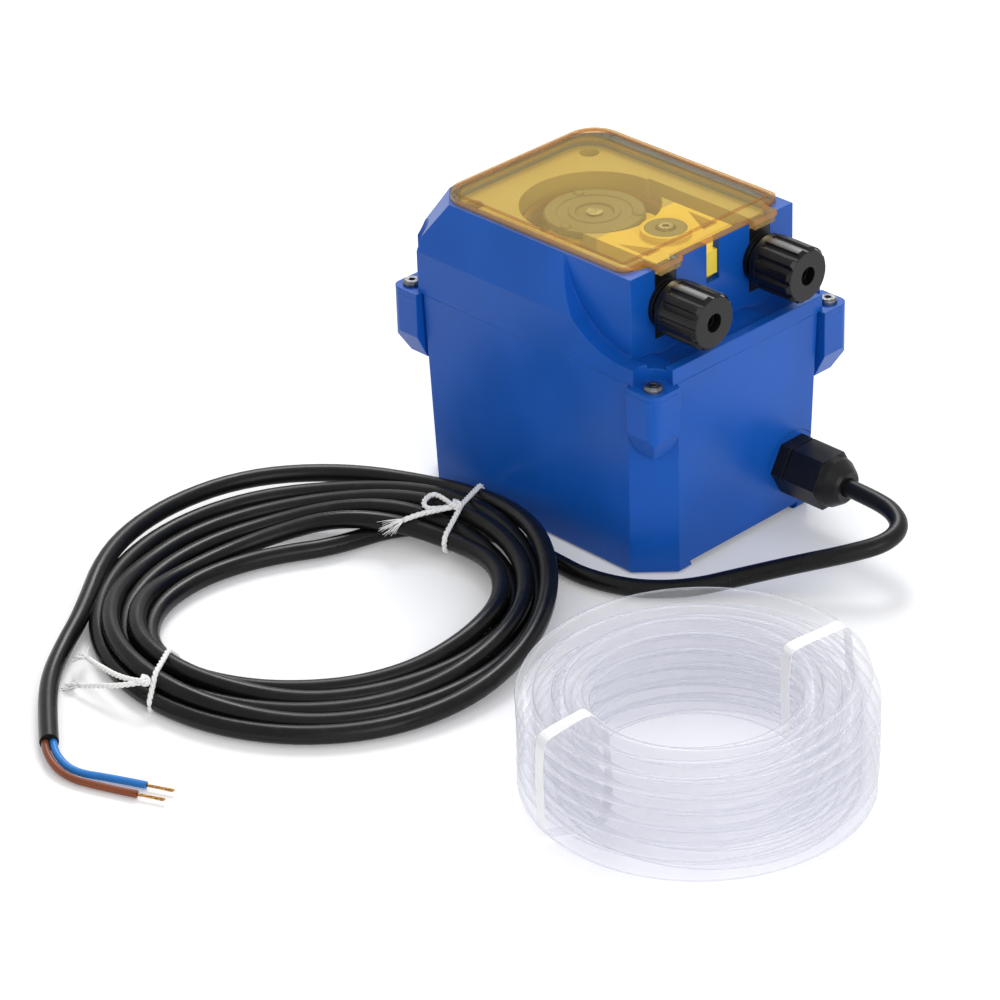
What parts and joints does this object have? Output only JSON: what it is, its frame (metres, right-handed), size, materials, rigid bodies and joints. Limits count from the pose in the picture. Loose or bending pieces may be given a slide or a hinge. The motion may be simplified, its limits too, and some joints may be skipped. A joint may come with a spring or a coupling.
{
  "type": "peristaltic detergent pump",
  "caption": "Wall-mounted peristaltic pump with a clear amber cover, ribbed hose nuts, a cable gland with its coiled lead, and a coil of clear hose.",
  "frame": {"origin": "centre of the wall face, on the back of the wall bracket", "axes": "+Z out of the wall towards the clear cover, -Y towards the hose nuts and the cable gland (down on a wall), +X to the gland side"},
  "size_m": [0.3114, 0.3152, 0.1137],
  "materials": {
    "blue_shell": "satin moulded blue",
    "amber_cover": "clear amber",
    "yellow_plastic": "moulded yellow",
    "black_plastic": "satin moulded black",
    "grey_plastic": "moulded grey",
    "white_plastic": "moulded white",
    "steel": "zinc-plated",
    "brass": "turned",
    "copper": "bare strands",
    "magnet": "ferrite",
    "tube_rubber": "soft elastomer",
    "seal_rubber": "soft rubber",
    "cable_black": "satin sheath",
    "core_blue": "core insulation",
    "core_brown": "core insulation",
    "clear_hose": "clear soft hose"
  },
  "bodies": {
    "housing": {"bare_strands": "copper", "base_housing": "blue_shell", "blue_core": "core_blue", "boss_cap": "grey_plastic", "boss_screw": "steel", "brown_core": "core_brown", "cable_coil": "cable_black", "cable_inside": "cable_black", "cable_lead": "cable_black", "cable_tail": "cable_black", "cable_ties": "white_plastic", "case_screws": "steel", "casing_screws": "steel", "front_housing": "blue_shell", "gear_case": "black_plastic", "gear_lid": "black_plastic", "gear_stub_axle": "steel", "gland_body": "black_plastic", "gland_locknut": "black_plastic", "head_casing": "yellow_plastic", "hose_bands": "white_plastic", "hose_coil": "clear_hose", "housing_screws": "steel", "inner_cores": "core_blue", "left_hose_connector": "black_plastic", "motor_can": "steel", "motor_cap": "black_plastic", "motor_leads": "core_brown", "motor_magnets": "magnet", "pump_tube": "tube_rubber", "right_hose_connector": "black_plastic", "shaft_bush": "brass", "terminal_block": "white_plastic", "terminal_screws": "brass"},
    "cover": {"pump_cover": "amber_cover"},
    "bracket": {"wall_bracket": "black_plastic"},
    "rotor": {"rotor_disc": "grey_plastic", "rotor_plate": "grey_plastic", "roller_pins": "steel", "output_shaft": "steel", "output_gear": "white_plastic"},
    "roller_a": {"roller_1": "yellow_plastic"},
    "roller_b": {"roller_2": "yellow_plastic"},
    "roller_c": {"roller_3": "yellow_plastic"},
    "upper_gear": {"upper_compound_gear": "white_plastic"},
    "lower_gear": {"lower_compound_gear": "white_plastic"},
    "motor_rotor": {"motor_pinion": "brass", "motor_shaft": "steel", "motor_armature": "steel"},
    "left_grip": {"left_grip_ring": "white_plastic"},
    "left_nut": {"left_hose_nut": "black_plastic"},
    "right_grip": {"right_grip_ring": "white_plastic"},
    "right_nut": {"right_hose_nut": "black_plastic"},
    "gland_seat": {"gland_seal": "seal_rubber"},
    "gland_nut": {"gland_cap": "black_plastic"}
  },
  "joints": [
    {"name": "cover_lift", "type": "slide", "parent": "housing", "child": "cover", "axis": [0, 0, 1], "range_m": [0, 0.03]},
    {"name": "bracket_slide", "type": "slide", "parent": "housing", "child": "bracket", "axis": [0, -1, 0], "range_m": [0, 0.1]},
    {"name": "rotor_spin", "type": "hinge", "parent": "housing", "child": "rotor", "pos_m": [0, 0.011, 0.0965], "axis": [0, 0, 1], "continuous": true},
    {"name": "roller_a_spin", "type": "hinge", "parent": "rotor", "child": "roller_a", "pos_m": [0.00664, 0.02523, 0.0965], "axis": [0, 0, 1], "continuous": true},
    {"name": "roller_b_spin", "type": "hinge", "parent": "rotor", "child": "roller_b", "pos_m": [-0.01564, 0.00963, 0.0965], "axis": [0, 0, 1], "continuous": true},
    {"name": "roller_c_spin", "type": "hinge", "parent": "rotor", "child": "roller_c", "pos_m": [0.00901, -0.00186, 0.0965], "axis": [0, 0, 1], "continuous": true},
    {"name": "upper_gear_spin", "type": "hinge", "parent": "housing", "child": "upper_gear", "pos_m": [0, -0.013, 0.0755], "axis": [0, 0, 1], "continuous": true},
    {"name": "lower_gear_spin", "type": "hinge", "parent": "housing", "child": "lower_gear", "pos_m": [0, 0.011, 0.0705], "axis": [0, 0, 1], "continuous": true},
    {"name": "motor_spin", "type": "hinge", "parent": "housing", "child": "motor_rotor", "pos_m": [0, -0.013, 0.068], "axis": [0, 0, 1], "continuous": true},
    {"name": "left_grip_slide", "type": "slide", "parent": "housing", "child": "left_grip", "axis": [0, -1, 0], "range_m": [0, 0.012]},
    {"name": "left_nut_turn", "type": "hinge", "parent": "left_grip", "child": "left_nut", "pos_m": [-0.0235, -0.0492, 0.0965], "axis": [0, -1, 0], "range_deg": [0, 1440]},
    {"name": "right_grip_slide", "type": "slide", "parent": "housing", "child": "right_grip", "axis": [0, -1, 0], "range_m": [0, 0.012]},
    {"name": "right_nut_turn", "type": "hinge", "parent": "right_grip", "child": "right_nut", "pos_m": [0.0235, -0.0492, 0.0965], "axis": [0, -1, 0], "range_deg": [0, 1440]},
    {"name": "gland_seal_slide", "type": "slide", "parent": "housing", "child": "gland_seat", "axis": [0, -1, 0], "range_m": [0, 0.006]},
    {"name": "gland_cap_turn", "type": "hinge", "parent": "gland_seat", "child": "gland_nut", "pos_m": [0.024, -0.066, 0.0205], "axis": [0, -1, 0], "range_deg": [0, 1440]}
  ],
  "couplings": [
    {"joint": "roller_a_spin", "follows": "rotor_spin", "ratio": -3.0933},
    {"joint": "roller_b_spin", "follows": "rotor_spin", "ratio": -3.0933},
    {"joint": "roller_c_spin", "follows": "rotor_spin", "ratio": -3.0933},
    {"joint": "upper_gear_spin", "follows": "rotor_spin", "ratio": -3},
    {"joint": "lower_gear_spin", "follows": "rotor_spin", "ratio": 9},
    {"joint": "motor_spin", "follows": "rotor_spin", "ratio": -27},
    {"joint": "left_grip_slide", "follows": "left_nut_turn", "m_per_rad": 0.00047746},
    {"joint": "right_grip_slide", "follows": "right_nut_turn", "m_per_rad": 0.00047746},
    {"joint": "gland_seal_slide", "follows": "gland_cap_turn", "m_per_rad": 0.00023873}
  ]
}
